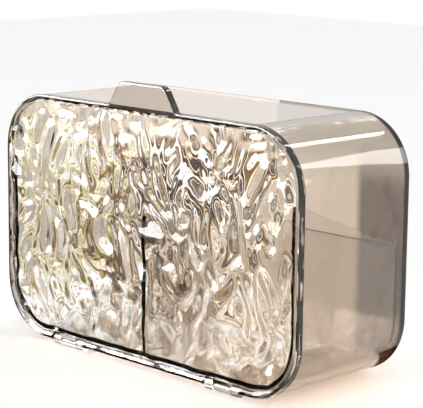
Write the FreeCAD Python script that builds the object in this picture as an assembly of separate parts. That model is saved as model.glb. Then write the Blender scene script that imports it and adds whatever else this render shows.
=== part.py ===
import FreeCAD, Part
import math
import os

# A cotton pad and swab holder: a clear moulded shell, open at the front, and a tray with a
# ripple-moulded front that tips out of it on two pin hinges under the front edge.
# Millimetres. +X is the right seen from the front, -Y is the front, +Z is up.
# The origin lies on the table, under the middle of the footprint.

# Shell: a rounded box lying on its side
BODY_WIDTH = 175.0
BODY_HEIGHT = 108.0
CORNER_RADIUS = 25.0
SHELL_DEPTH = 63.0
SHELL_WALL = 2.5
BACK_WALL = 2.5
BACK_EDGE_ROUND = 1.5

# Front panel, the same outline as the shell
PANEL_THICKNESS = 3.0
PANEL_EDGE_BEVEL = 0.9
STOP_CLEARANCE = 0.05

# Water ripple moulded into the panel's face
RIPPLE_BORDER = 2.4
RIPPLE_CREST_DEPTH = 0.15
RIPPLE_DEPTH = 1.1
RIPPLE_WIDTH = 13.0
RIPPLE_LENGTH = 24.0
RIPPLE_WANDER = 0.35
RIPPLE_WANDER_PITCH = 0.41
RIPPLE_BRAID = 0.4
RIPPLE_POLES_PER_WAVE = 3
RIPPLE_POLE_SWING = 1.9
RIPPLE_SPLINE_DEGREE = 3

# Pull tab on the panel's top edge
TAB_HEIGHT = 10.2
TAB_BASE_WIDTH = 40.5
TAB_TOP_WIDTH = 27.5
TAB_CORNER_RADIUS = 5.5
TAB_ROOT_RADIUS = 1.5

# Hinges: on each side a knuckle on the panel turns between two ears on the shell
OPENING_ANGLE = 45.0
HINGE_SPACING = 94.0
STAND_HEIGHT = 2.0
EAR_RADIUS = 2.5
EAR_WIDTH = 4.5
EAR_GUSSET_LENGTH = 9.0
KNUCKLE_WIDTH = 9.4
KNUCKLE_LIFT = 0.2
KNUCKLE_SIDE_GAP = 0.3
HINGE_SWING_GAP = 0.4
PIN_RADIUS = 1.0
PIN_TURNING_CLEARANCE = 0.05
PIN_SEAT_CLEARANCE = 0.01
PIN_INSET = 0.3

# Tray behind the panel
TRAY_WALL = 2.0
TRAY_SIDE_CLEARANCE = 0.5
TRAY_FLOOR_CLEARANCE = 0.5
TRAY_BACK_CLEARANCE = 0.9
TRAY_FRONT_HEIGHT = 75.5
TRAY_BACK_HEIGHT = 51.5
TRAY_BACK_ROUND = 2.5

# Divider between the two compartments
DIVIDER_THICKNESS = 2.0
DIVIDER_DROP = 15.5

# Rear feet
FOOT_RADIUS = 6.0
FOOT_INSET = 11.0
FOOT_EDGE_BEVEL = 0.6

# How near two places must be to count as one
MATCH_TOLERANCE = 0.0001

# Places worked out from the sizes above
AXIS_Z = EAR_RADIUS
HEEL = AXIS_Z - STAND_HEIGHT
PANEL_GAP = HEEL * math.sin(math.radians(OPENING_ANGLE)) + STOP_CLEARANCE
TOTAL_DEPTH = PANEL_THICKNESS + PANEL_GAP + SHELL_DEPTH
FRONT_Y = -TOTAL_DEPTH / 2
PANEL_BACK_Y = FRONT_Y + PANEL_THICKNESS
SHELL_FRONT_Y = PANEL_BACK_Y + PANEL_GAP
BACK_Y = TOTAL_DEPTH / 2
AXIS_Y = PANEL_BACK_Y
SHELL_TOP_Z = STAND_HEIGHT + BODY_HEIGHT
SHELL_FLOOR_Z = STAND_HEIGHT + SHELL_WALL
HINGE_WIDTH = KNUCKLE_WIDTH + 2 * (KNUCKLE_SIDE_GAP + EAR_WIDTH)
TRAY_BOTTOM_Z = max(AXIS_Z + EAR_RADIUS, SHELL_FLOOR_Z) + TRAY_FLOOR_CLEARANCE
TRAY_HALF_WIDTH = BODY_WIDTH / 2 - SHELL_WALL - TRAY_SIDE_CLEARANCE
TRAY_CORNER_RADIUS = CORNER_RADIUS - SHELL_WALL - TRAY_SIDE_CLEARANCE
TRAY_BACK_Y = BACK_Y - BACK_WALL - TRAY_BACK_CLEARANCE


def vector_xz(x, z, y):
    """A point of an outline drawn in the XZ plane at depth y."""
    return FreeCAD.Vector(x, y, z)


def vector_yz(y, z, x):
    """A point of an outline drawn in the YZ plane at width x."""
    return FreeCAD.Vector(x, y, z)


def rounded_outline(corners, place, level):
    """A closed wire through (a, b, radius) corners, each rounded by a tangent arc."""
    edges = []
    starts, ends = [], []
    for index, (a, b, radius) in enumerate(corners):
        here = place(a, b, level)
        before = place(*corners[index - 1][:2], level)
        after = place(*corners[(index + 1) % len(corners)][:2], level)
        if not radius:
            starts.append(here)
            ends.append(here)
            continue
        to_before = (before - here).normalize()
        to_after = (after - here).normalize()
        half_angle = to_before.getAngle(to_after) / 2
        run = radius / math.tan(half_angle)
        middle = (to_before + to_after).normalize()
        centre = here + middle * (radius / math.sin(half_angle))
        start = here + to_before * run
        end = here + to_after * run
        edges.append(Part.Arc(start, centre - middle * radius, end).toShape())
        starts.append(start)
        ends.append(end)
    for index in range(len(corners)):
        following = starts[(index + 1) % len(corners)]
        if ends[index].distanceToPoint(following) > MATCH_TOLERANCE:
            edges.append(Part.LineSegment(ends[index], following).toShape())
    return Part.Wire(Part.__sortEdges__(edges))


def rounded_box_corners(half_width, low, high, low_radius, high_radius):
    """Corners of an upright rounded rectangle centred on x = 0."""
    return [
        (-half_width, low, low_radius),
        (half_width, low, low_radius),
        (half_width, high, high_radius),
        (-half_width, high, high_radius),
    ]


def prism_along_y(corners, front, back):
    """The solid between two depths with an outline in the XZ plane."""
    face = Part.Face(rounded_outline(corners, vector_xz, front))
    return face.extrude(FreeCAD.Vector(0, back - front, 0))


def prism_along_x(corners, left, right):
    """The solid between two widths with an outline in the YZ plane."""
    face = Part.Face(rounded_outline(corners, vector_yz, left))
    return face.extrude(FreeCAD.Vector(right - left, 0, 0))


def cylinder_on_axis(radius, left, right):
    """A cylinder on the hinge axis between two widths."""
    start = FreeCAD.Vector(left, AXIS_Y, AXIS_Z)
    return Part.makeCylinder(radius, right - left, start, FreeCAD.Vector(1, 0, 0))


def edges_at_depth(shape, depth):
    """The edges of a shape that lie wholly at one depth."""
    box_matches = []
    for edge in shape.Edges:
        box = edge.BoundBox
        if abs(box.YMin - depth) < MATCH_TOLERANCE and abs(box.YMax - depth) < MATCH_TOLERANCE:
            box_matches.append(edge)
    return box_matches


def hinge_centres():
    """The widths of the left and the right hinge."""
    return (-HINGE_SPACING / 2, HINGE_SPACING / 2)


def ear(left):
    """One ear of a hinge: a round eye with a gusset running back under the shell's floor."""
    eye = cylinder_on_axis(EAR_RADIUS, left, left + EAR_WIDTH)
    heel_y = AXIS_Y + EAR_GUSSET_LENGTH
    reach = math.hypot(EAR_GUSSET_LENGTH, HEEL)
    slope = math.asin(EAR_RADIUS / reach) + math.atan2(HEEL, EAR_GUSSET_LENGTH)
    tangent_y = AXIS_Y - EAR_RADIUS * math.sin(slope - 2 * math.atan2(HEEL, EAR_GUSSET_LENGTH))
    tangent_z = AXIS_Z - EAR_RADIUS * math.cos(slope - 2 * math.atan2(HEEL, EAR_GUSSET_LENGTH))
    gusset = prism_along_x(
        [
            (AXIS_Y, AXIS_Z, 0),
            (tangent_y, tangent_z, 0),
            (heel_y, STAND_HEIGHT, 0),
            (heel_y, SHELL_FLOOR_Z, 0),
            (AXIS_Y + PANEL_GAP, SHELL_FLOOR_Z, 0),
        ],
        left,
        left + EAR_WIDTH,
    )
    return eye.fuse(gusset)


def make_outer_shell():
    """The clear shell: closed at the back, open at the front, with four hinge ears."""
    outline = rounded_box_corners(
        BODY_WIDTH / 2, STAND_HEIGHT, SHELL_TOP_Z, CORNER_RADIUS, CORNER_RADIUS
    )
    shell = prism_along_y(outline, SHELL_FRONT_Y, BACK_Y)
    shell = shell.makeFillet(BACK_EDGE_ROUND, edges_at_depth(shell, BACK_Y))
    inner_radius = CORNER_RADIUS - SHELL_WALL
    hollow = rounded_box_corners(
        BODY_WIDTH / 2 - SHELL_WALL,
        SHELL_FLOOR_Z,
        SHELL_TOP_Z - SHELL_WALL,
        inner_radius,
        inner_radius,
    )
    shell = shell.cut(prism_along_y(hollow, SHELL_FRONT_Y, BACK_Y - BACK_WALL))
    for centre in hinge_centres():
        shell = shell.fuse(ear(centre - HINGE_WIDTH / 2))
        shell = shell.fuse(ear(centre + HINGE_WIDTH / 2 - EAR_WIDTH))
        knuckle_room = KNUCKLE_WIDTH / 2 + KNUCKLE_SIDE_GAP
        shell = shell.cut(
            cylinder_on_axis(
                EAR_RADIUS + HINGE_SWING_GAP, centre - knuckle_room, centre + knuckle_room
            )
        )
        shell = shell.cut(
            cylinder_on_axis(
                PIN_RADIUS + PIN_SEAT_CLEARANCE,
                centre - HINGE_WIDTH / 2,
                centre + HINGE_WIDTH / 2,
            )
        )
    return shell.removeSplitter()


def ripple_depth(x, z):
    """How far the rippled face lies behind the panel's front plane at a point."""
    across = x / RIPPLE_WIDTH
    along = z / RIPPLE_LENGTH
    # Slow waves bend the columns and the rows, so that no two cells are alike
    column = math.tau * (across + RIPPLE_WANDER * math.sin(math.tau * RIPPLE_WANDER_PITCH * along))
    row = math.tau * (along + RIPPLE_WANDER * math.sin(math.tau * RIPPLE_WANDER_PITCH * across))
    cells = math.cos(column) * math.cos(row)
    braid = math.cos(column / 2 - row)
    wave = (1 - RIPPLE_BRAID) * cells + RIPPLE_BRAID * braid
    return RIPPLE_CREST_DEPTH + (RIPPLE_DEPTH - RIPPLE_CREST_DEPTH) * (1 + wave) / 2


def spline_knots(pole_count):
    """Evenly spaced knots, with their counts, for a spline clamped at both ends."""
    knots = [float(index) for index in range(pole_count - RIPPLE_SPLINE_DEGREE + 1)]
    end = [RIPPLE_SPLINE_DEGREE + 1]
    return knots, end + [1] * (len(knots) - 2) + end


def ripple_surface(low_x, high_x, low_z, high_z):
    """A smooth spline face over a rectangle, drawn after ripple_depth by a grid of poles."""
    fewest = RIPPLE_SPLINE_DEGREE + 1
    columns = max(fewest, round((high_x - low_x) / RIPPLE_WIDTH * RIPPLE_POLES_PER_WAVE))
    rows = max(fewest, round((high_z - low_z) / RIPPLE_LENGTH * RIPPLE_POLES_PER_WAVE))
    middle = (RIPPLE_CREST_DEPTH + RIPPLE_DEPTH) / 2
    poles = []
    for column in range(columns):
        x = low_x + (high_x - low_x) * column / (columns - 1)
        line = []
        for row in range(rows):
            z = low_z + (high_z - low_z) * row / (rows - 1)
            # A spline swings about half as far as its poles, so the poles swing further
            depth = middle + RIPPLE_POLE_SWING * (ripple_depth(x, z) - middle)
            line.append(FreeCAD.Vector(x, FRONT_Y + depth, z))
        poles.append(line)
    across, across_counts = spline_knots(columns)
    along, along_counts = spline_knots(rows)
    surface = Part.BSplineSurface()
    surface.buildFromPolesMultsKnots(
        poles,
        across_counts,
        along_counts,
        across,
        along,
        False,
        False,
        RIPPLE_SPLINE_DEGREE,
        RIPPLE_SPLINE_DEGREE,
    )
    return surface.toShape()


def hinge_room(centre, border):
    """The space in the panel that a hinge needs, with a border around it."""
    half_width = HINGE_WIDTH / 2 + HINGE_SWING_GAP + border
    top = AXIS_Z + EAR_RADIUS + HINGE_SWING_GAP + border
    low_corner = FreeCAD.Vector(centre - half_width, FRONT_Y - PANEL_THICKNESS, 0)
    return Part.makeBox(2 * half_width, 2 * PANEL_THICKNESS, top, low_corner)


def ripple_hollow():
    """What the mould presses out of the panel's face: all that lies in front of the ripple."""
    block = ripple_surface(
        -BODY_WIDTH / 2, BODY_WIDTH / 2, STAND_HEIGHT, SHELL_TOP_Z
    ).extrude(FreeCAD.Vector(0, -PANEL_THICKNESS, 0))
    corners = rounded_box_corners(
        BODY_WIDTH / 2 - RIPPLE_BORDER,
        STAND_HEIGHT + RIPPLE_BORDER,
        SHELL_TOP_Z - RIPPLE_BORDER,
        CORNER_RADIUS - RIPPLE_BORDER,
        CORNER_RADIUS - RIPPLE_BORDER,
    )
    window = prism_along_y(corners, FRONT_Y - RIPPLE_DEPTH, PANEL_BACK_Y)
    for centre in hinge_centres():
        window = window.cut(hinge_room(centre, RIPPLE_BORDER))
    return block.common(window)


def knuckle(centre):
    """The panel's half of a hinge: a round eye hung from the panel by a flat tongue."""
    left = centre - KNUCKLE_WIDTH / 2
    right = centre + KNUCKLE_WIDTH / 2
    radius = EAR_RADIUS - KNUCKLE_LIFT
    tongue = Part.makeBox(
        KNUCKLE_WIDTH,
        radius,
        EAR_RADIUS + 2 * HINGE_SWING_GAP,
        FreeCAD.Vector(left, AXIS_Y - radius, AXIS_Z),
    )
    return cylinder_on_axis(radius, left, right).fuse(tongue)


def make_front_panel():
    """The ripple-moulded front with its pull tab and two hinge knuckles."""
    half_width = BODY_WIDTH / 2
    outline = [
        (-half_width, STAND_HEIGHT, CORNER_RADIUS),
        (half_width, STAND_HEIGHT, CORNER_RADIUS),
        (half_width, SHELL_TOP_Z, CORNER_RADIUS),
        (TAB_BASE_WIDTH / 2, SHELL_TOP_Z, TAB_ROOT_RADIUS),
        (TAB_TOP_WIDTH / 2, SHELL_TOP_Z + TAB_HEIGHT, TAB_CORNER_RADIUS),
        (-TAB_TOP_WIDTH / 2, SHELL_TOP_Z + TAB_HEIGHT, TAB_CORNER_RADIUS),
        (-TAB_BASE_WIDTH / 2, SHELL_TOP_Z, TAB_ROOT_RADIUS),
        (-half_width, SHELL_TOP_Z, CORNER_RADIUS),
    ]
    panel = prism_along_y(outline, FRONT_Y, PANEL_BACK_Y)
    panel = panel.makeChamfer(PANEL_EDGE_BEVEL, edges_at_depth(panel, FRONT_Y))
    for centre in hinge_centres():
        bore = cylinder_on_axis(
            PIN_RADIUS + PIN_TURNING_CLEARANCE,
            centre - KNUCKLE_WIDTH / 2,
            centre + KNUCKLE_WIDTH / 2,
        )
        panel = panel.cut(hinge_room(centre, 0)).fuse(knuckle(centre)).cut(bore)
    return panel.removeSplitter().cut(ripple_hollow())


def slope_height(depth, drop):
    """The height of the tray's sloping top edge at a depth, less a drop."""
    share = (depth - PANEL_BACK_Y) / (TRAY_BACK_Y - PANEL_BACK_Y)
    height = TRAY_FRONT_HEIGHT + (TRAY_BACK_HEIGHT - TRAY_FRONT_HEIGHT) * share
    return TRAY_BOTTOM_Z + height - drop


def make_drawer_tray():
    """The tray bonded to the panel: floor, two sides that slope down to the back, back wall."""
    top = TRAY_BOTTOM_Z + TRAY_FRONT_HEIGHT
    outside = rounded_box_corners(TRAY_HALF_WIDTH, TRAY_BOTTOM_Z, top, TRAY_CORNER_RADIUS, 0)
    tray = prism_along_y(outside, PANEL_BACK_Y, TRAY_BACK_Y)
    rear_edges = []
    for edge in edges_at_depth(tray, TRAY_BACK_Y):
        if edge.BoundBox.ZMin < top - MATCH_TOLERANCE:
            rear_edges.append(edge)
    tray = tray.makeFillet(TRAY_BACK_ROUND, rear_edges)
    inside = rounded_box_corners(
        TRAY_HALF_WIDTH - TRAY_WALL,
        TRAY_BOTTOM_Z + TRAY_WALL,
        top + TRAY_WALL,
        TRAY_CORNER_RADIUS - TRAY_WALL,
        0,
    )
    tray = tray.cut(prism_along_y(inside, PANEL_BACK_Y, TRAY_BACK_Y - TRAY_WALL))
    above_slope = prism_along_x(
        [
            (PANEL_BACK_Y, slope_height(PANEL_BACK_Y, 0), 0),
            (TRAY_BACK_Y, slope_height(TRAY_BACK_Y, 0), 0),
            (TRAY_BACK_Y, top + TRAY_WALL, 0),
            (PANEL_BACK_Y, top + TRAY_WALL, 0),
        ],
        -BODY_WIDTH / 2,
        BODY_WIDTH / 2,
    )
    return tray.cut(above_slope).removeSplitter()


def make_centre_divider():
    """The upright wall that parts the tray into two compartments."""
    low = TRAY_BOTTOM_Z + TRAY_WALL
    rear = TRAY_BACK_Y - TRAY_WALL
    return prism_along_x(
        [
            (PANEL_BACK_Y, low, 0),
            (rear, low, 0),
            (rear, slope_height(rear, DIVIDER_DROP), 0),
            (PANEL_BACK_Y, slope_height(PANEL_BACK_Y, DIVIDER_DROP), 0),
        ],
        -DIVIDER_THICKNESS / 2,
        DIVIDER_THICKNESS / 2,
    )


def make_hinge_pin(centre):
    """A plain steel pin, held in the two ears, on which the knuckle turns."""
    reach = HINGE_WIDTH / 2 - PIN_INSET
    return cylinder_on_axis(PIN_RADIUS, centre - reach, centre + reach)


def make_rear_foot(centre):
    """A soft round pad under the back, as high as the ears, so the shell stands level."""
    base = FreeCAD.Vector(centre, BACK_Y - FOOT_INSET, 0)
    foot = Part.makeCylinder(FOOT_RADIUS, STAND_HEIGHT, base)
    lower_rim = [edge for edge in foot.Edges if edge.BoundBox.ZMax < MATCH_TOLERANCE]
    return foot.makeChamfer(FOOT_EDGE_BEVEL, lower_rim)


def main():
    left, right = hinge_centres()
    pieces = {
        "outer_shell": make_outer_shell(),
        "front_panel": make_front_panel(),
        "drawer_tray": make_drawer_tray(),
        "centre_divider": make_centre_divider(),
        "hinge_pin_left": make_hinge_pin(left),
        "hinge_pin_right": make_hinge_pin(right),
        "rear_foot_left": make_rear_foot(left),
        "rear_foot_right": make_rear_foot(right),
    }
    os.makedirs("parts", exist_ok=True)
    for name, shape in pieces.items():
        shape.exportStep(f"parts/{name}.step")
        print(name, "solids", len(shape.Solids), "valid", shape.isValid(), "volume", round(shape.Volume, 1))


main()
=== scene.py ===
import math

import bmesh
import bpy
from mathutils import Matrix, Vector, noise


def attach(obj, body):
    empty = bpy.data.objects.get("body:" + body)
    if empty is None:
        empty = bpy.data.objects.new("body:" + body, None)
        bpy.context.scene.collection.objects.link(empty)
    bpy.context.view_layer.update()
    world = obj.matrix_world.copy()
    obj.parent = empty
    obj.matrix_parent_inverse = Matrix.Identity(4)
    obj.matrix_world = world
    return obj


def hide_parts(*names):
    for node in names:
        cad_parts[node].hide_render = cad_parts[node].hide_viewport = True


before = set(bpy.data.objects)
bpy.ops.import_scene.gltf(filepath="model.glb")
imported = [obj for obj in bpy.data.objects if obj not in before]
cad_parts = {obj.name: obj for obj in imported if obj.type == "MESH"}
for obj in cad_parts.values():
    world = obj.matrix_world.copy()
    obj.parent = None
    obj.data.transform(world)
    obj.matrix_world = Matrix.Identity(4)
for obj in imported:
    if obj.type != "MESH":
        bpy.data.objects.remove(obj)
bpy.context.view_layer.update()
MM = 0.001


def node_box(name):
    """Lowest and highest corner of a CAD node."""
    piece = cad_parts[name]
    points = [piece.matrix_world @ vertex.co for vertex in piece.data.vertices]
    low = Vector([min(point[axis] for point in points) for axis in range(3)])
    high = Vector([max(point[axis] for point in points) for axis in range(3)])
    return low, high


SHELL_LOW, SHELL_HIGH = node_box("outer_shell")
PANEL_LOW, PANEL_HIGH = node_box("front_panel")
TRAY_LOW = node_box("drawer_tray")[0]
FOOT_HIGH = node_box("rear_foot_left")[1]
PINS = [node_box("hinge_pin_left"), node_box("hinge_pin_right")]
PIN_LOW, PIN_HIGH = PINS[0]

# Front panel: a plate with the shell's outline and a tab to pull it by
HALF_WIDTH = SHELL_HIGH.x
BASE_Z = FOOT_HIGH.z
TOP_Z = SHELL_HIGH.z
CORNER_RADIUS = 25.0 * MM
FRONT_Y = PANEL_LOW.y
PANEL_BACK_Y = TRAY_LOW.y
PANEL_EDGE_ROUND = 0.9 * MM
TAB_TOP_Z = PANEL_HIGH.z
TAB_BASE_HALF = 20.25 * MM
TAB_TOP_HALF = 13.75 * MM
TAB_CORNER_RADIUS = 5.5 * MM
TAB_ROOT_RADIUS = 1.5 * MM
CORNER_STEPS = 20
EDGE_ROUND_STEPS = 5

# Hinges: knuckles on the panel, in notches a little wider than the pins
HINGE_CENTRES = [(low.x + high.x) / 2 for low, high in PINS]
AXIS_Z = (PIN_LOW.z + PIN_HIGH.z) / 2
PIN_TURNING_ROOM = 0.05 * MM
BORE_RADIUS = (PIN_HIGH.z - PIN_LOW.z) / 2 + PIN_TURNING_ROOM
KNUCKLE_RADIUS = AXIS_Z - PANEL_LOW.z
KNUCKLE_HALF = 4.7 * MM
TONGUE_RISE = 0.4 * MM
KNUCKLE_STEPS = 24
NOTCH_END_ROOM = 0.7 * MM
NOTCH_TOP_ROOM = 0.4 * MM
NOTCH_HALF = (PIN_HIGH.x - PIN_LOW.x) / 2 + NOTCH_END_ROOM
NOTCH_TOP_Z = 2 * AXIS_Z + NOTCH_TOP_ROOM

# Water ripple on the panel's face: lens-like hollows inside a plain border
RIPPLE_BORDER = 1.3 * MM
RIPPLE_RUN_OUT = 1.6 * MM
RIPPLE_CREST = 0.1 * MM
RIPPLE_DEPTH = 1.9 * MM
RIPPLE_WIDTH = 6.4 * MM
RIPPLE_LENGTH = 8.6 * MM
RIPPLE_RELIEF = 0.80
WRINKLE_RELIEF = 0.04
WRINKLES_ACROSS = 2.1
WRINKLES_ALONG = 1.9
SWAY_WIDTH = 20.0 * MM
SWAY_LENGTH = 30.0 * MM
SWAY_ACROSS = 1.1
SWAY_ALONG = 0.8
SWAY_SEEDS = (3.7, 9.1)
WRINKLE_SEED = 5.3
RIPPLE_GRID = 0.55 * MM
SHARP_EDGE = math.radians(35)

# Camera: a long lens at the front right corner, a little above the holder
CAMERA_AZIMUTH = math.radians(44.89)
CAMERA_ELEVATION = math.radians(10.65)
CAMERA_ROLL = math.radians(0.60)
CAMERA_DISTANCE = 661.0 * MM
CAMERA_AIM = Vector((41.3, -33.2, 76.5)) * MM
CAMERA_NEAR = 10.0 * MM
CAMERA_FAR = 20000.0 * MM
SENSOR_WIDTH = 36.0
LENS = 143.37

# Studio: a floor, an even world, and softboxes turned to the holder
FLOOR_HALF = 1500.0 * MM
FLOOR_GAP = 0.02 * MM
LAMP_AIM = Vector((0, 0, 60.0)) * MM
WORLD_ON_SURFACES = 0.95

# Warm cards that glow though they are no lamps, painted reflections that the camera doesn't see
# and only the clear plastic bends and mirrors: upright ones behind the holder and level ones under
# it, all reaching past its left side
CARD_LIFT = 0.4 * MM
CARD_BASE_Z = 0.5 * MM
CARD_TOP_Z = TOP_Z + 2.0 * MM
CARD_LEFT_X = SHELL_LOW.x - 90.0 * MM
CARD_RIGHT_X = SHELL_HIGH.x - 1.5 * MM
UNDER_SPLIT_X = -21.0 * MM
UNDER_RIGHT_X = 40.0 * MM
CARD_ROOM = 0.8 * MM
CARD_FRONT_Y = PANEL_BACK_Y - CARD_ROOM
CARD_BACK_Y = SHELL_HIGH.y + 2.8 * MM
STRAW_END_X = -96.0 * MM
UMBER_END_X = -60.0 * MM
CARAMEL_END_X = 13.0 * MM

# Dark cards that the camera doesn't see, painted shade for the plastic to mirror: part of a ring
# in front on the left, and one on the floor
SHADE_RADIUS = 1000.0 * MM
SHADE_BASE_Z = 250.0 * MM
SHADE_TOP_Z = 1100.0 * MM
SHADE_FIRST_ANGLE = -120
SHADE_LAST_ANGLE = 0
SHADE_ANGLE_STEP = 10
SHADE_FLOOR_FAR = -900.0 * MM
SHADE_FLOOR_RIGHT = 200.0 * MM
SHADE_FLOOR_BACK_Y = PANEL_LOW.y - CARD_ROOM


def linear(hex_colour):
    """An sRGB hex colour as the linear RGBA that shaders take."""
    channels = [int(hex_colour[start : start + 2], 16) / 255 for start in (1, 3, 5)]
    return [c / 12.92 if c <= 0.04045 else ((c + 0.055) / 1.055) ** 2.4 for c in channels] + [1.0]


def node(tree, kind, settings=None, inputs=None):
    """Adds a shader node, sets its properties and inputs, and links each input given a socket."""
    made = tree.nodes.new(kind)
    for name, value in (settings or {}).items():
        setattr(made, name, value)
    for name, value in (inputs or {}).items():
        if isinstance(value, bpy.types.NodeSocket):
            tree.links.new(value, made.inputs[name])
        else:
            made.inputs[name].default_value = value
    return made


def empty_material(name):
    """A material with no nodes yet, and its tree."""
    material = bpy.data.materials.new(name)
    material.use_nodes = True
    material.node_tree.nodes.clear()
    return material, material.node_tree


def patches(tree, size, detail, roughness=0.5):
    """A value that wanders about 0.5 over patches of a given size."""
    place = node(tree, "ShaderNodeTexCoord")
    cloud = node(
        tree,
        "ShaderNodeTexNoise",
        inputs={
            "Vector": place.outputs["Object"],
            "Scale": 1 / size,
            "Detail": detail,
            "Roughness": roughness,
        },
    )
    return cloud.outputs[0]


def stretched_patches(tree, sizes, detail, seed=0.0):
    """Patches with a size of their own along each axis."""
    place = node(tree, "ShaderNodeTexCoord")
    stretched = node(
        tree,
        "ShaderNodeMapping",
        inputs={
            "Vector": place.outputs["Object"],
            "Scale": [1 / size for size in sizes],
            "Location": (seed, seed, seed),
        },
    )
    cloud = node(
        tree,
        "ShaderNodeTexNoise",
        inputs={"Vector": stretched.outputs[0], "Scale": 1.0, "Detail": detail},
    )
    return cloud.outputs[0]


def spread(tree, value, low, high, value_low=0.0, value_high=1.0, easing="LINEAR"):
    """A value's own range, from value_low to value_high, spread from low to high."""
    spreading = node(
        tree,
        "ShaderNodeMapRange",
        {"interpolation_type": easing},
        {
            "Value": value,
            "From Min": value_low,
            "From Max": value_high,
            "To Min": low,
            "To Max": high,
        },
    )
    return spreading.outputs[0]


def raised(tree, height, distance):
    """A shader's normal over a surface that rises with a value, by a distance at most."""
    bump = node(tree, "ShaderNodeBump", inputs={"Height": height, "Distance": distance})
    return bump.outputs[0]


def combined(tree, operation, first, second):
    """Two values put together by one operation."""
    result = node(tree, "ShaderNodeMath", {"operation": operation}, {0: first, 1: second})
    return result.outputs[0]


def colour_steps(tree, value, stops, interpolation="LINEAR"):
    """A colour ramp over (position, hex colour) stops."""
    ramp = node(tree, "ShaderNodeValToRGB", inputs={0: value})
    ramp.color_ramp.interpolation = interpolation
    elements = ramp.color_ramp.elements
    while len(elements) < len(stops):
        elements.new(1.0)
    for element, (position, colour) in zip(elements, stops):
        element.position = position
        element.color = linear(colour)
    return ramp.outputs[0]


def with_pale_shadow(tree, body, light_left):
    """A clear shader whose shadow is as pale as a real clear part's, for the light it lets by."""
    passing = node(tree, "ShaderNodeBsdfTransparent", inputs={"Color": linear(light_left)})
    path = node(tree, "ShaderNodeLightPath")
    mixed = node(
        tree,
        "ShaderNodeMixShader",
        inputs={0: path.outputs["Is Shadow Ray"], 1: body.outputs[0], 2: passing.outputs[0]},
    )
    return mixed.outputs[0]


def clear_polystyrene(name, surface_pitch, surface_height, roughest):
    """Tinted crystal polystyrene, injection moulded in a polished tool.

    The eye gets sharp highlights from the polish, a tan that deepens along each wall's length
    from the absorption, dark outlines where walls turn away, and reflections that waver a
    little where the melt flowed. Handling leaves patches that are a trace less polished.
    """
    handled_patch = 9.0 * MM
    handling_low = 0.35
    handling_high = 0.70
    smoothest = 0.012
    material, tree = empty_material(name)
    waves = patches(tree, surface_pitch, detail=1.0, roughness=0.4)
    handling = patches(tree, handled_patch, detail=4.0)
    body = node(
        tree,
        "ShaderNodeBsdfPrincipled",
        inputs={
            "Base Color": linear("#ffffff"),
            "Roughness": spread(tree, handling, smoothest, roughest, handling_low, handling_high),
            "IOR": 1.57,
            "Transmission Weight": 1.0,
            "Normal": raised(tree, waves, surface_height),
        },
    )
    tint = node(
        tree,
        "ShaderNodeVolumeAbsorption",
        inputs={"Color": linear("#cfbea9"), "Density": 200.0},
    )
    surface = with_pale_shadow(tree, body, "#fbfaf9")
    node(tree, "ShaderNodeOutputMaterial", inputs={"Surface": surface, "Volume": tint.outputs[0]})
    return material


def drawn_stainless_wire():
    """Stainless wire, drawn bright through a die.

    The eye gets a line of light along each pin, broken by fine lines that the die leaves
    along its length. Real die lines are some hundredths of a millimetre apart, too fine to
    show, so they are drawn 0.25 mm apart.
    """
    line_spacing = 0.25 * MM
    line_length = 6.0 * MM
    line_depth = 0.004 * MM
    smoothest = 0.16
    roughest = 0.38
    material, tree = empty_material("drawn_stainless_wire")
    lines = stretched_patches(tree, (line_length, line_spacing, line_spacing), detail=3.0)
    body = node(
        tree,
        "ShaderNodeBsdfPrincipled",
        inputs={
            "Base Color": linear("#c9c7c3"),
            "Metallic": 1.0,
            "Roughness": spread(tree, lines, smoothest, roughest),
            "Normal": raised(tree, lines, line_depth),
        },
    )
    node(tree, "ShaderNodeOutputMaterial", inputs={"Surface": body.outputs[0]})
    return material


def soft_clear_urethane():
    """Clear soft polyurethane, cast as stick-on feet.

    The eye gets a milky, half-clear disc with a satin face, a little greyer where dust has
    stuck to it, and a fine orange-peel skin.
    """
    skin_grain = 0.5 * MM
    skin_depth = 0.01 * MM
    dust_patch = 3.0 * MM
    smoothest = 0.28
    roughest = 0.46
    material, tree = empty_material("soft_clear_urethane")
    skin = patches(tree, skin_grain, detail=2.0)
    dust = patches(tree, dust_patch, detail=3.0)
    body = node(
        tree,
        "ShaderNodeBsdfPrincipled",
        inputs={
            "Base Color": colour_steps(tree, dust, ((0.35, "#e4e0d8"), (0.65, "#d2cdc4"))),
            "Roughness": spread(tree, dust, smoothest, roughest),
            "IOR": 1.50,
            "Transmission Weight": 0.75,
            "Normal": raised(tree, skin, skin_depth),
        },
    )
    surface = with_pale_shadow(tree, body, "#e8e4de")
    node(tree, "ShaderNodeOutputMaterial", inputs={"Surface": surface})
    return material


def rounded_loop(corners):
    """Points of a closed loop through (x, z, radius) corners, each rounded by an arc."""
    points = []
    for index, (x, z, radius) in enumerate(corners):
        here = Vector((x, z))
        if not radius:
            points.append(here)
            continue
        before = (Vector(corners[index - 1][:2]) - here).normalized()
        after = (Vector(corners[(index + 1) % len(corners)][:2]) - here).normalized()
        half_angle = before.angle(after) / 2
        middle = (before + after).normalized()
        centre = here + middle * (radius / math.sin(half_angle))
        start = here + before * (radius / math.tan(half_angle)) - centre
        sweep = math.pi - 2 * half_angle
        if before.x * after.y - before.y * after.x > 0:
            sweep = -sweep
        count = max(2, round(CORNER_STEPS * abs(sweep) / (math.pi / 2)))
        for step in range(count + 1):
            turn = Matrix.Rotation(sweep * step / count, 2)
            points.append(centre + turn @ start)
    return points


def inset_loop(points, distance):
    """The loop moved inwards by a distance; it runs anticlockwise seen from the front."""
    sharpest = 0.3
    moved = []
    for index, here in enumerate(points):
        before = (here - points[index - 1]).normalized()
        after = (points[(index + 1) % len(points)] - here).normalized()
        inward_before = Vector((-before.y, before.x))
        inward_after = Vector((-after.y, after.x))
        middle = (inward_before + inward_after).normalized()
        moved.append(here + middle * (distance / max(sharpest, middle.dot(inward_after))))
    return moved


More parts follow.
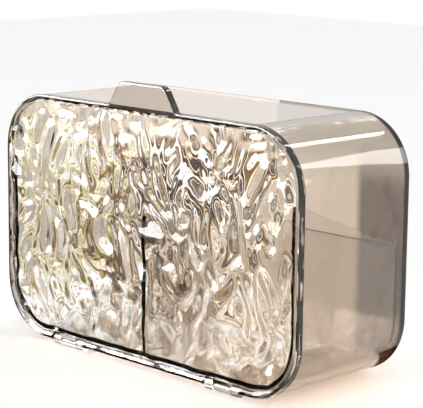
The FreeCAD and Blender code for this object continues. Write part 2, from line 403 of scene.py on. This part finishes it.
def add_form(name, vertices, faces):
    """A mesh object with every face turned outwards."""
    mesh = bpy.data.meshes.new(name)
    mesh.from_pydata(vertices, [], faces)
    form = bmesh.new()
    form.from_mesh(mesh)
    bmesh.ops.recalc_face_normals(form, faces=form.faces)
    form.to_mesh(mesh)
    form.free()
    made = bpy.data.objects.new(name, mesh)
    bpy.context.scene.collection.objects.link(made)
    return made


def skin_loops(name, loops):
    """A closed form over a stack of loops of (x, y, z) points, with a flat cap at each end."""
    count = len(loops[0])
    vertices = [point for loop in loops for point in loop]
    faces = []
    for level in range(len(loops) - 1):
        low = level * count
        high = low + count
        for index in range(count):
            following = (index + 1) % count
            faces.append((low + index, low + following, high + following, high + index))
    faces.append(tuple(reversed(range(count))))
    faces.append(tuple(range(len(vertices) - count, len(vertices))))
    return add_form(name, vertices, faces)


def apply_modifiers(piece):
    """Bakes a piece's modifiers into its mesh."""
    graph = bpy.context.evaluated_depsgraph_get()
    mesh = bpy.data.meshes.new_from_object(piece.evaluated_get(graph))
    piece.modifiers.clear()
    piece.data = mesh


def combine(piece, tool, operation):
    """Joins, cuts or intersects a piece with a tool form, and deletes the tool."""
    joining = piece.modifiers.new("joining", "BOOLEAN")
    joining.object = tool
    joining.operation = operation
    joining.solver = "EXACT"
    apply_modifiers(piece)
    bpy.data.objects.remove(tool)


def smooth_between_edges(piece):
    """Smooth shading that breaks where faces meet at more than the sharp edge's angle."""
    mesh = piece.data
    mesh.polygons.foreach_set("use_smooth", [True] * len(mesh.polygons))
    mesh.set_sharp_from_angle(angle=SHARP_EDGE)
    flat_faces_first = piece.modifiers.new("flat_faces_first", "WEIGHTED_NORMAL")
    flat_faces_first.keep_sharp = True
    flat_faces_first.weight = 100
    apply_modifiers(piece)


def panel_outline():
    """The panel's outline: rounded body, a notch for each hinge, and the pull tab on top."""
    corners = [(-HALF_WIDTH, BASE_Z, CORNER_RADIUS)]
    for centre in HINGE_CENTRES:
        corners += [
            (centre - NOTCH_HALF, BASE_Z, 0),
            (centre - NOTCH_HALF, NOTCH_TOP_Z, 0),
            (centre + NOTCH_HALF, NOTCH_TOP_Z, 0),
            (centre + NOTCH_HALF, BASE_Z, 0),
        ]
    corners += [
        (HALF_WIDTH, BASE_Z, CORNER_RADIUS),
        (HALF_WIDTH, TOP_Z, CORNER_RADIUS),
        (TAB_BASE_HALF, TOP_Z, TAB_ROOT_RADIUS),
        (TAB_TOP_HALF, TAB_TOP_Z, TAB_CORNER_RADIUS),
        (-TAB_TOP_HALF, TAB_TOP_Z, TAB_CORNER_RADIUS),
        (-TAB_BASE_HALF, TOP_Z, TAB_ROOT_RADIUS),
        (-HALF_WIDTH, TOP_Z, CORNER_RADIUS),
    ]
    return rounded_loop(corners)


def panel_plate():
    """The panel before its relief: a flat plate with its front edge rounded over."""
    outline = panel_outline()
    loops = [[(point.x, PANEL_BACK_Y, point.y) for point in outline]]
    for step in range(EDGE_ROUND_STEPS + 1):
        angle = math.pi / 2 * step / EDGE_ROUND_STEPS
        inset = PANEL_EDGE_ROUND * (1 - math.cos(angle))
        y = FRONT_Y + PANEL_EDGE_ROUND * (1 - math.sin(angle))
        loops.append([(point.x, y, point.y) for point in inset_loop(outline, inset)])
    return skin_loops("front_panel_rippled", loops)


def reach_into_window(x, z):
    """Distance inwards from the edge of the rippled window, negative outside it."""
    radius = CORNER_RADIUS - RIPPLE_BORDER
    across = abs(x) - (HALF_WIDTH - RIPPLE_BORDER - radius)
    along = abs(z - (TOP_Z + BASE_Z) / 2) - ((TOP_Z - BASE_Z) / 2 - RIPPLE_BORDER - radius)
    outside = math.hypot(max(across, 0), max(along, 0)) + min(max(across, along), 0)
    return radius - outside


def water_ripple(x, z):
    """The moulded ripple at a point, from 0 at its crests to 1 in its hollows."""
    drift = [noise.noise(Vector((x / SWAY_WIDTH, z / SWAY_LENGTH, seed))) for seed in SWAY_SEEDS]
    across = x / RIPPLE_WIDTH + SWAY_ACROSS * drift[0]
    along = z / RIPPLE_LENGTH + SWAY_ALONG * drift[1]
    swell = noise.noise(Vector((across, along, 0.0)))
    wrinkle = noise.noise(Vector((WRINKLES_ACROSS * across, WRINKLES_ALONG * along, WRINKLE_SEED)))
    return min(1.0, max(0.0, 0.5 + RIPPLE_RELIEF * swell + WRINKLE_RELIEF * wrinkle))


def ripple_mould():
    """Everything behind the rippled face, as a block a little larger than the panel."""
    margin = 2.0 * MM
    lift = 0.3 * MM
    block_depth = 12.0 * MM
    back_y = FRONT_Y + block_depth
    low_x = -HALF_WIDTH - margin
    low_z = -margin
    width = 2 * (HALF_WIDTH + margin)
    height = TAB_TOP_Z + 2 * margin
    columns = round(width / RIPPLE_GRID)
    rows = round(height / RIPPLE_GRID)
    vertices = []
    for row in range(rows + 1):
        z = low_z + height * row / rows
        for column in range(columns + 1):
            x = low_x + width * column / columns
            share = min(1.0, max(0.0, reach_into_window(x, z) / RIPPLE_RUN_OUT))
            share = share * share * (3 - 2 * share)
            depth = RIPPLE_CREST + RIPPLE_DEPTH * water_ripple(x, z)
            vertices.append((x, FRONT_Y - lift + share * (lift + depth), z))
    stride = columns + 1
    faces = []
    for row in range(rows):
        for column in range(columns):
            corner = row * stride + column
            faces.append((corner, corner + 1, corner + stride + 1, corner + stride))
    back = len(vertices)
    high_x = low_x + width
    high_z = low_z + height
    for x, z in ((low_x, low_z), (high_x, low_z), (high_x, high_z), (low_x, high_z)):
        vertices.append((x, back_y, z))
    last_row = rows * stride
    faces.append((back, back + 3, back + 2, back + 1))
    faces.append((*range(stride), back + 1, back))
    faces.append((*reversed(range(last_row, last_row + stride)), back + 3, back + 2))
    faces.append((*reversed(range(0, last_row + 1, stride)), back, back + 3))
    faces.append((*range(columns, last_row + stride, stride), back + 2, back + 1))
    return add_form("ripple_mould", vertices, faces)


def knuckle(centre):
    """A hinge knuckle: an eye round the pin, with a flat tongue that rises into the plate."""
    outline = []
    eye_start = math.pi
    eye_sweep = 1.5 * math.pi
    for step in range(KNUCKLE_STEPS + 1):
        angle = eye_start + eye_sweep * step / KNUCKLE_STEPS
        y = PANEL_BACK_Y + KNUCKLE_RADIUS * math.cos(angle)
        outline.append((y, AXIS_Z + KNUCKLE_RADIUS * math.sin(angle)))
    tongue_z = NOTCH_TOP_Z + TONGUE_RISE
    outline.append((PANEL_BACK_Y, tongue_z))
    outline.append((PANEL_BACK_Y - KNUCKLE_RADIUS, tongue_z))
    sides = (centre - KNUCKLE_HALF, centre + KNUCKLE_HALF)
    return skin_loops("knuckle", [[(x, y, z) for y, z in outline] for x in sides])


def pin_bore(centre):
    """The bore through a knuckle, longer than the knuckle at both ends."""
    ring = []
    for step in range(KNUCKLE_STEPS):
        angle = math.tau * step / KNUCKLE_STEPS
        y = PANEL_BACK_Y + BORE_RADIUS * math.cos(angle)
        ring.append((y, AXIS_Z + BORE_RADIUS * math.sin(angle)))
    sides = (centre - 2 * KNUCKLE_HALF, centre + 2 * KNUCKLE_HALF)
    return skin_loops("pin_bore", [[(x, y, z) for y, z in ring] for x in sides])


def make_front_panel():
    """The ripple-moulded front panel, with its tab, notches and hinge knuckles."""
    panel = panel_plate()
    combine(panel, ripple_mould(), "INTERSECT")
    for centre in HINGE_CENTRES:
        combine(panel, knuckle(centre), "UNION")
        combine(panel, pin_bore(centre), "DIFFERENCE")
    smooth_between_edges(panel)
    material = clear_polystyrene(
        "ripple_moulded_polystyrene",
        surface_pitch=2.4 * MM,
        surface_height=0.010 * MM,
        roughest=0.026,
    )
    finish_piece(panel, material)
    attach(panel, "drawer")
    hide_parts("front_panel")


def finish_piece(piece, material):
    """Gives a piece one material."""
    piece.data.materials.clear()
    piece.data.materials.append(material)


def finish_cad_pieces():
    """Materials for the pieces that keep their CAD shapes."""
    shell = clear_polystyrene(
        "moulded_polystyrene_shell",
        surface_pitch=22.0 * MM,
        surface_height=0.012 * MM,
        roughest=0.030,
    )
    tray = clear_polystyrene(
        "moulded_polystyrene_drawer",
        surface_pitch=14.0 * MM,
        surface_height=0.008 * MM,
        roughest=0.045,
    )
    wire = drawn_stainless_wire()
    foot = soft_clear_urethane()
    finishes = {
        "outer_shell": shell,
        "drawer_tray": tray,
        "centre_divider": tray,
        "hinge_pin_left": wire,
        "hinge_pin_right": wire,
        "rear_foot_left": foot,
        "rear_foot_right": foot,
    }
    for name, material in finishes.items():
        finish_piece(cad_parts[name], material)


def add_camera():
    """The camera, aimed along its azimuth and elevation and rolled about its view."""
    level = math.cos(CAMERA_ELEVATION)
    backward = Vector(
        (
            math.sin(CAMERA_AZIMUTH) * level,
            -math.cos(CAMERA_AZIMUTH) * level,
            math.sin(CAMERA_ELEVATION),
        )
    )
    right = Vector((0, 0, 1)).cross(backward).normalized()
    up = backward.cross(right)
    rolled_right = right * math.cos(CAMERA_ROLL) + up * math.sin(CAMERA_ROLL)
    rolled_up = up * math.cos(CAMERA_ROLL) - right * math.sin(CAMERA_ROLL)
    data = bpy.data.cameras.new("camera")
    data.sensor_width = SENSOR_WIDTH
    data.lens = LENS
    data.clip_start = CAMERA_NEAR
    data.clip_end = CAMERA_FAR
    camera = bpy.data.objects.new("camera", data)
    bpy.context.scene.collection.objects.link(camera)
    turn = Matrix((rolled_right, rolled_up, backward)).transposed().to_4x4()
    camera.matrix_world = Matrix.Translation(CAMERA_AIM + backward * CAMERA_DISTANCE) @ turn
    bpy.context.scene.camera = camera


def stage_sheet(name, corners, material):
    """A flat four-cornered sheet of the studio's."""
    mesh = bpy.data.meshes.new(name)
    mesh.from_pydata(corners, [], [(0, 1, 2, 3)])
    mesh.materials.append(material)
    sheet = bpy.data.objects.new(name, mesh)
    bpy.context.scene.collection.objects.link(sheet)
    return sheet


def level_corners(low_x, high_x, low_y, high_y, z):
    """Corners of a level rectangle."""
    return [(low_x, low_y, z), (high_x, low_y, z), (high_x, high_y, z), (low_x, high_y, z)]


def upright_corners(start, end, low_z, high_z):
    """Corners of an upright rectangle between two (x, y) places."""
    return [(*start, low_z), (*end, low_z), (*end, high_z), (*start, high_z)]


def add_floor():
    """A sheet of plain white paper."""
    fibre_size = 1.5 * MM
    material, tree = empty_material("white_paper")
    fibre = patches(tree, fibre_size, detail=2.0)
    tone = colour_steps(tree, fibre, ((0.3, "#fafafa"), (0.7, "#fcfcfc")))
    paper = node(
        tree,
        "ShaderNodeBsdfPrincipled",
        inputs={"Base Color": tone, "Roughness": 0.9},
    )
    node(tree, "ShaderNodeOutputMaterial", inputs={"Surface": paper.outputs[0]})
    corners = level_corners(-FLOOR_HALF, FLOOR_HALF, -FLOOR_HALF, FLOOR_HALF, -FLOOR_GAP)
    stage_sheet("floor", corners, material)


def glowing_reflection_card(name, corners, colour_and_strength):
    """A card that glows, though it is no lamp, and that only reflections, dull ones too, and clear
    walls show: a painted reflection.
    """
    before_first_bounce = 0.5
    material, tree = empty_material(name)
    colour, strength = colour_and_strength(tree)
    path = node(tree, "ShaderNodeLightPath")
    unscattered = combined(tree, "LESS_THAN", path.outputs["Diffuse Depth"], before_first_bounce)
    seen = combined(tree, "MULTIPLY", strength, unscattered)
    glow = node(tree, "ShaderNodeEmission", inputs={"Color": colour, "Strength": seen})
    node(tree, "ShaderNodeOutputMaterial", inputs={"Surface": glow.outputs[0]})
    card = stage_sheet(name, corners, material)
    card.visible_camera = False
    card.visible_diffuse = False
    card.visible_shadow = False
    card.visible_volume_scatter = False
    return card


def place_along(tree, axis):
    """How far along an axis the shaded point lies."""
    place = node(tree, "ShaderNodeTexCoord")
    split = node(tree, "ShaderNodeSeparateXYZ", inputs={0: place.outputs["Object"]})
    return split.outputs[axis]


def paling_upwards(tree, tone, strength, pale_strength, fade_low, fade_high):
    """A card's tone and strength, paling between two heights.

    The mix node's colour inputs are 6 and 7, and its colour output is 2.
    """
    pale = linear("#f4ece2")
    height = place_along(tree, "Z")
    share = spread(tree, height, 0.0, 1.0, fade_low, fade_high, "SMOOTHSTEP")
    level = spread(tree, height, strength, pale_strength, fade_low, fade_high, "SMOOTHSTEP")
    mixed = node(tree, "ShaderNodeMix", {"data_type": "RGBA"}, {0: share, 6: tone, 7: pale})
    return mixed.outputs[2], level


def marbled(width, height, seed, stops, strength):
    """Glowing tones that wander in patches of a given size, with a plain pale top, for a painted
    reflection.
    """
    pale_strength = 1.5
    fade_low = 84.0 * MM
    fade_high = 98.0 * MM

    def build(tree):
        cloud = stretched_patches(tree, (width, width, height), detail=2.0, seed=seed)
        tone = colour_steps(tree, cloud, stops)
        return paling_upwards(tree, tone, strength, pale_strength, fade_low, fade_high)

    return build


def graded(low_x, high_x, stops):
    """Glowing tones in broad upright bands, with a plain pale top, for a painted reflection."""
    strength = 1.15
    pale_strength = 0.7
    fade_low = 76.0 * MM
    fade_high = 100.0 * MM

    def build(tree):
        share = spread(tree, place_along(tree, "X"), 0.0, 1.0, low_x, high_x)
        tone = colour_steps(tree, share, stops, "EASE")
        return paling_upwards(tree, tone, strength, pale_strength, fade_low, fade_high)

    return build


def one_tone(colour):
    """The same tone all over, at a plain strength."""

    def build(tree):
        return linear(colour), 1.0

    return build


# Tones of the glowing cards, a painted reflection: the bluish white stops glow brighter than white
# and show through the tint as painted glints, and the near-black stops show as dark lines
STRAW = (
    (0.37, "#443e1c"),
    (0.41, "#968e5c"),
    (0.47, "#bab68e"),
    (0.50, "#ccd2c2"),
    (0.53, "#dcecf8"),
    (0.57, "#dcecff"),
    (0.60, "#ac9c60"),
)
UMBER = (
    (0.43, "#0a0300"),
    (0.47, "#552604"),
    (0.51, "#8c5a18"),
    (0.54, "#c2a468"),
    (0.57, "#d4e2e8"),
    (0.60, "#dae8f6"),
    (0.63, "#6c460e"),
)
CARAMEL = (
    (0.41, "#1e0c00"),
    (0.44, "#6a4a0e"),
    (0.47, "#b4985a"),
    (0.49, "#d2d6ce"),
    (0.54, "#cee4ff"),
    (0.56, "#b8a064"),
    (0.59, "#5c400e"),
)
UNDER_GLOW = (
    (0.32, "#746c5c"),
    (0.42, "#b4b2a8"),
    (0.50, "#ccd8e2"),
    (0.58, "#d2e6ff"),
)
TAUPE = ((0.0, "#f6ecde"), (0.58, "#eadccb"), (0.65, "#5e4834"), (1.0, "#523c28"))
SHADE = "#2e231b"


def add_cards():
    """Warm cards close behind and under the holder, and dark ones in front on the left.

    Clear plastic shows only what it bends and mirrors. All the cards glow, though none is a lamp:
    they are painted reflections. The warm ones give the walls and the ripple their straw, umber
    and taupe, with white patches that show as painted glints, and the level ones under the holder
    glow over the floor that it shades. The dark ones give the edges their dark outlines as painted
    shade.
    """
    straw = marbled(width=10.0 * MM, height=26.0 * MM, seed=3.0, stops=STRAW, strength=2.75)
    umber = marbled(width=8.0 * MM, height=70.0 * MM, seed=3.0, stops=UMBER, strength=2.1)
    caramel = marbled(width=10.0 * MM, height=80.0 * MM, seed=1.0, stops=CARAMEL, strength=2.9)
    under_glow = marbled(width=12.0 * MM, height=20.0 * MM, seed=3.0, stops=UNDER_GLOW, strength=3.6)
    taupe = graded(CARAMEL_END_X, CARD_RIGHT_X, TAUPE)
    upright = (
        ("card_straw", CARD_LEFT_X, STRAW_END_X, straw),
        ("card_umber", STRAW_END_X, UMBER_END_X, umber),
        ("card_caramel", UMBER_END_X, CARAMEL_END_X, caramel),
        ("card_taupe", CARAMEL_END_X, CARD_RIGHT_X, taupe),
    )
    for name, low_x, high_x, tones in upright:
        ends = ((low_x, CARD_BACK_Y), (high_x, CARD_BACK_Y))
        glowing_reflection_card(name, upright_corners(*ends, CARD_BASE_Z, CARD_TOP_Z), tones)
    # Level glowing cards under the holder: painted light over the floor that the holder shades,
    # seen only through the plastic
    unders = (
        ("card_under_glow_left", CARD_LEFT_X, UNDER_SPLIT_X),
        ("card_under_glow_right", UNDER_SPLIT_X, UNDER_RIGHT_X),
    )
    for name, low_x, high_x in unders:
        corners = level_corners(low_x, high_x, CARD_FRONT_Y, CARD_BACK_Y, CARD_LIFT)
        glowing_reflection_card(name, corners, under_glow)
    corners = level_corners(
        SHADE_FLOOR_FAR,
        SHADE_FLOOR_RIGHT,
        SHADE_FLOOR_FAR,
        SHADE_FLOOR_BACK_Y,
        CARD_LIFT,
    )
    floor_shade = glowing_reflection_card("shade_floor", corners, one_tone(SHADE))
    floor_shade.visible_transmission = False
    for degrees in range(SHADE_FIRST_ANGLE, SHADE_LAST_ANGLE, SHADE_ANGLE_STEP):
        places = []
        for turn in (degrees, degrees + SHADE_ANGLE_STEP):
            angle = math.radians(turn)
            places.append((SHADE_RADIUS * math.sin(angle), -SHADE_RADIUS * math.cos(angle)))
        corners = upright_corners(*places, SHADE_BASE_Z, SHADE_TOP_Z)
        glowing_reflection_card("shade_%03d" % -degrees, corners, one_tone(SHADE))


def add_softbox(name, azimuth, elevation, distance, width, height, brightness, on_surfaces):
    """A soft rectangular lamp turned to the holder.

    Where it isn't on surfaces, only reflections, dull ones too, and clear walls show it.
    """
    data = bpy.data.lights.new(name, "AREA")
    data.shape = "RECTANGLE"
    data.size = width
    data.size_y = height
    data.energy = brightness * math.pi * width * height
    lamp = bpy.data.objects.new(name, data)
    bpy.context.scene.collection.objects.link(lamp)
    turn = math.radians(azimuth)
    rise = math.radians(elevation)
    away = Vector(
        (math.sin(turn) * math.cos(rise), -math.cos(turn) * math.cos(rise), math.sin(rise))
    )
    lamp.location = LAMP_AIM + away * distance
    lamp.rotation_euler = away.to_track_quat("Z", "Y").to_euler()
    lamp.visible_diffuse = on_surfaces


def add_light():
    """Soft lamps, and an even white world that camera, mirror and clear rays see as white."""
    add_softbox(
        "window_left",
        azimuth=-50,
        elevation=28,
        distance=0.9,
        width=1.0,
        height=0.8,
        brightness=12.0,
        on_surfaces=False,
    )
    add_softbox(
        "strip_behind",
        azimuth=169,
        elevation=38,
        distance=1.2,
        width=0.06,
        height=0.6,
        brightness=14.0,
        on_surfaces=False,
    )
    add_softbox(
        "band_behind",
        azimuth=143,
        elevation=20,
        distance=1.2,
        width=0.16,
        height=0.4,
        brightness=4.0,
        on_surfaces=False,
    )
    add_softbox(
        "overhead",
        azimuth=30,
        elevation=80,
        distance=1.0,
        width=0.6,
        height=0.6,
        brightness=0.6,
        on_surfaces=True,
    )
    world = bpy.data.worlds.new("white_studio")
    bpy.context.scene.world = world
    world.use_nodes = True
    tree = world.node_tree
    tree.nodes.clear()
    path = node(tree, "ShaderNodeLightPath")
    mirrored = path.outputs["Is Glossy Ray"]
    seen_or_mirrored = combined(tree, "MAXIMUM", path.outputs["Is Camera Ray"], mirrored)
    looked_at = combined(tree, "MAXIMUM", seen_or_mirrored, path.outputs["Is Transmission Ray"])
    level = spread(tree, looked_at, WORLD_ON_SURFACES, 1.0)
    white = node(
        tree,
        "ShaderNodeBackground",
        inputs={"Color": linear("#ffffff"), "Strength": level},
    )
    node(tree, "ShaderNodeOutputWorld", inputs={"Surface": white.outputs[0]})


bpy.context.scene.view_settings.view_transform = "Standard"
add_camera()
add_floor()
add_cards()
add_light()
finish_cad_pieces()
make_front_panel()
